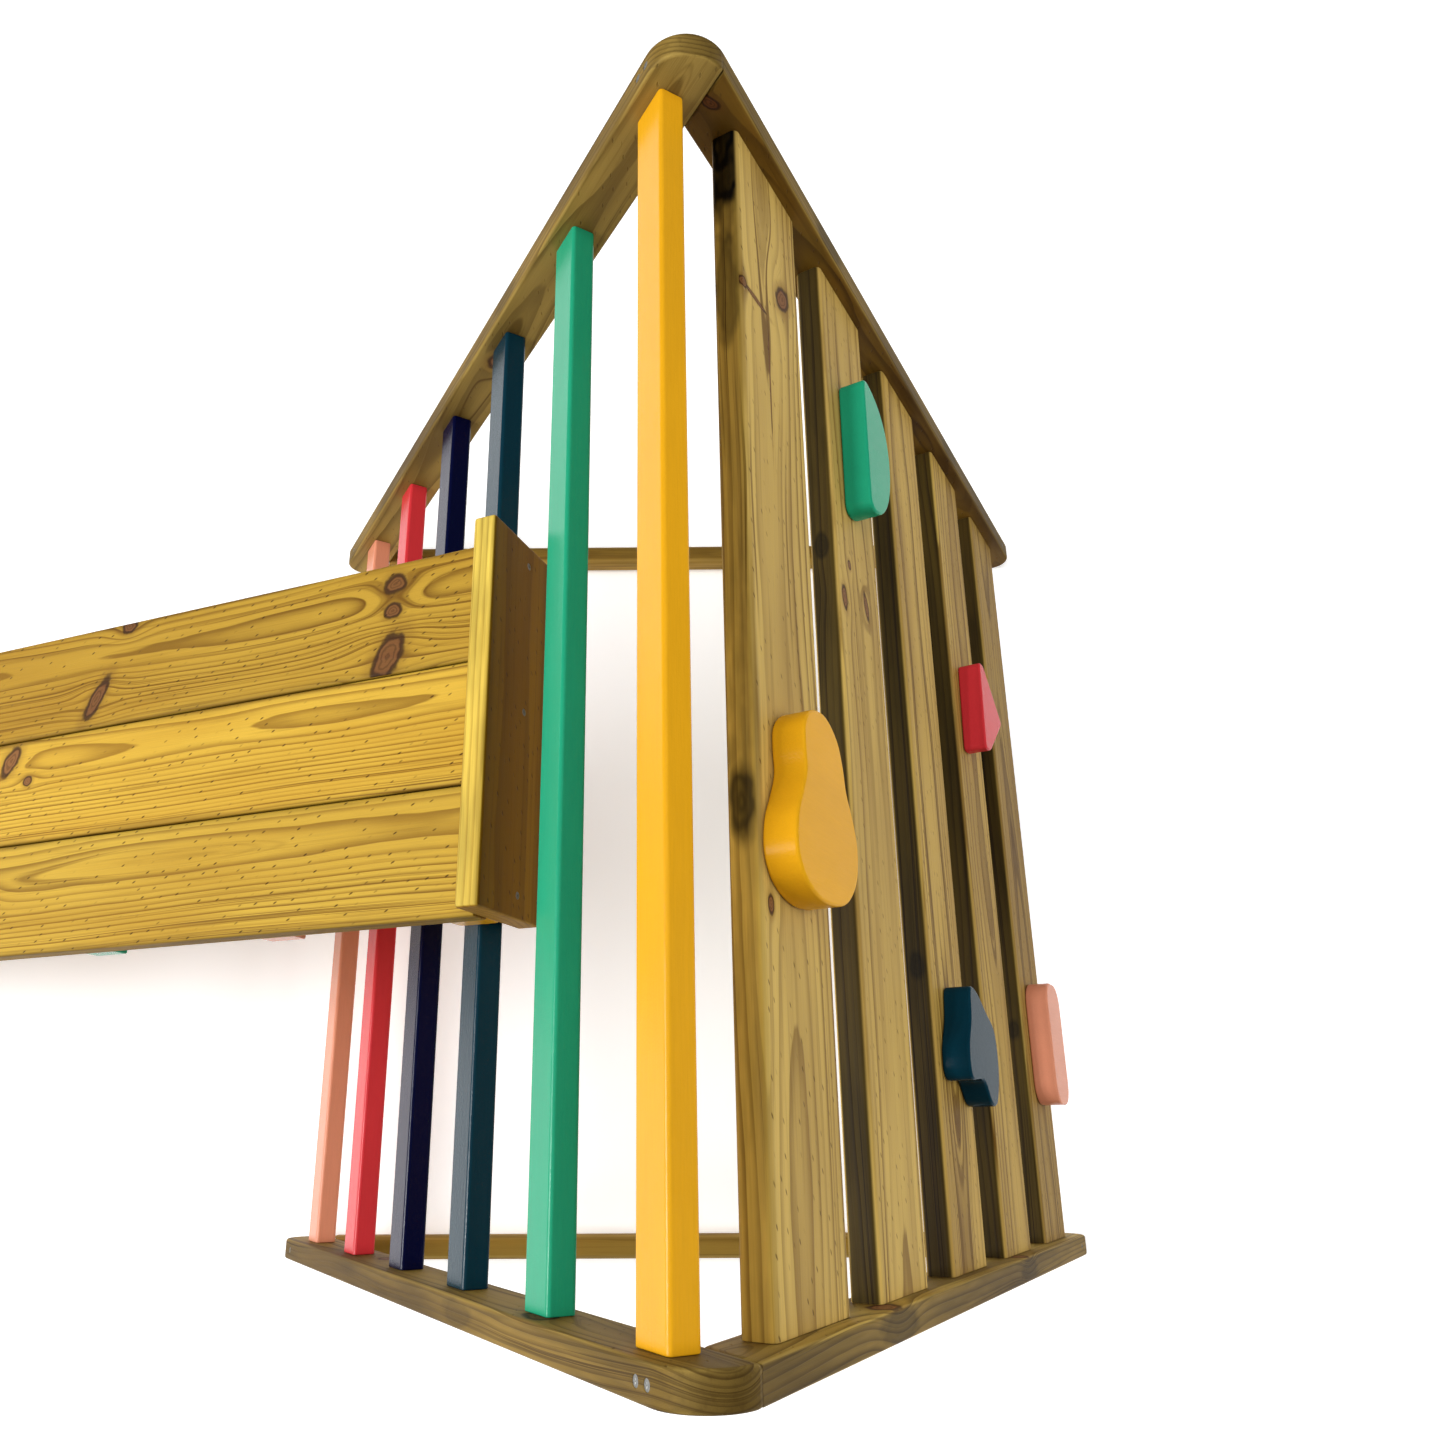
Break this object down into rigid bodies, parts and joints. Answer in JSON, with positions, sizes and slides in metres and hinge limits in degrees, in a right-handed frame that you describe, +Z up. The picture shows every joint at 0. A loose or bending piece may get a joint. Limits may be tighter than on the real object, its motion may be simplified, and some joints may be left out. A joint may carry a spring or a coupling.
{
  "type": "climbing frame",
  "caption": "Wooden A-frame climbing triangle: painted rungs up the left slope, boards with climbing holds down the right, and a plank ramp hooked over a rung.",
  "frame": {"origin": "centre of the overall footprint, on the floor", "axes": "+X from the lower end of the ramp to the foot of the board wall, +Y along the ridge from the near A-frame to the far one, +Z up"},
  "size_m": [2.6025, 1.206, 1.0385],
  "materials": {
    "pine_frame": "planed pressure-treated pine",
    "pine_ramp": "planed yellow pine with rows of incising marks",
    "paint_yellow": "wood painted yellow, satin",
    "paint_green": "wood painted green, satin",
    "paint_teal": "wood painted teal, satin",
    "paint_navy": "wood painted navy, satin",
    "paint_coral": "wood painted coral, satin",
    "paint_peach": "wood painted peach, satin",
    "screw": "zinc-plated countersunk"
  },
  "bodies": {
    "frame": {"ladder_leg_near": "pine_frame", "ladder_leg_far": "pine_frame", "wall_leg_near": "pine_frame", "wall_leg_far": "pine_frame", "stretcher_near": "pine_frame", "stretcher_far": "pine_frame", "rung_yellow": "paint_yellow", "rung_green": "paint_green", "rung_teal": "paint_teal", "rung_navy": "paint_navy", "rung_coral": "paint_coral", "rung_peach": "paint_peach", "wall_slat_1": "pine_frame", "wall_slat_2": "pine_frame", "wall_slat_3": "pine_frame", "wall_slat_4": "pine_frame", "wall_slat_5": "pine_frame", "hold_yellow": "paint_yellow", "hold_green": "paint_green", "hold_teal": "paint_teal", "hold_coral": "paint_coral", "hold_peach": "paint_peach", "apex_screw_near_1": "screw", "apex_screw_near_2": "screw", "apex_screw_far_1": "screw", "apex_screw_far_2": "screw", "rung_screw_near_1": "screw", "rung_screw_near_2": "screw", "rung_screw_near_3": "screw", "rung_screw_near_4": "screw", "rung_screw_near_5": "screw", "rung_screw_near_6": "screw", "rung_screw_far_1": "screw", "rung_screw_far_2": "screw", "rung_screw_far_3": "screw", "rung_screw_far_4": "screw", "rung_screw_far_5": "screw", "rung_screw_far_6": "screw", "stretcher_screw_near_1": "screw", "stretcher_screw_near_2": "screw", "stretcher_screw_far_1": "screw", "stretcher_screw_far_2": "screw"},
    "ramp": {"ramp_plank_1": "pine_ramp", "ramp_plank_2": "pine_ramp", "ramp_plank_3": "pine_ramp", "ramp_hook_board": "pine_ramp", "ramp_batten_1": "paint_yellow", "ramp_batten_2": "paint_peach", "ramp_batten_3": "paint_green", "ramp_batten_4": "paint_coral", "ramp_batten_5": "paint_teal", "ramp_batten_6": "paint_navy", "ramp_batten_7": "paint_yellow", "hook_board_screw_1": "screw", "hook_board_screw_2": "screw", "hook_board_screw_3": "screw"}
  },
  "joints": [
    {"name": "ramp_lift", "type": "slide", "parent": "frame", "child": "ramp", "axis": [-0.3665, 0, 0.9304], "range_m": [0, 0.2]}
  ]
}
